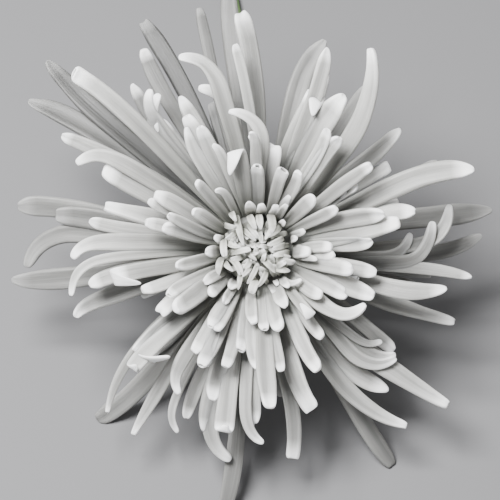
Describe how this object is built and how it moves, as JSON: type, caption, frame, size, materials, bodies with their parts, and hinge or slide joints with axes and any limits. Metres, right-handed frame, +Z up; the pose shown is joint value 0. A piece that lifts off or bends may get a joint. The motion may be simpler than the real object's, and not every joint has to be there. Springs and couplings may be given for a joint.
{
  "type": "spider chrysanthemum",
  "caption": "Cut spider chrysanthemum with long quilled white florets round a small tangled disc, lying on its stem with its face turned up.",
  "frame": {"origin": "on the surface that the flower lies on, under the middle of its bounding box", "axes": "+Z up from the surface; +Y from the bloom along the lying stem to its cut end; the bloom's face is turned up and leans 30 degrees towards -Y"},
  "size_m": [0.1168, 0.1959, 0.0723],
  "materials": {
    "petal_white": "matt, softly translucent, with fine lengthwise veins",
    "disc_cream": "matt, waxy",
    "stem_green": "satin, finely ribbed"
  },
  "bodies": {
    "root": {"ray_florets": "petal_white", "disc_florets": "disc_cream", "stem_with_bracts": "stem_green"}
  },
  "joints": []
}
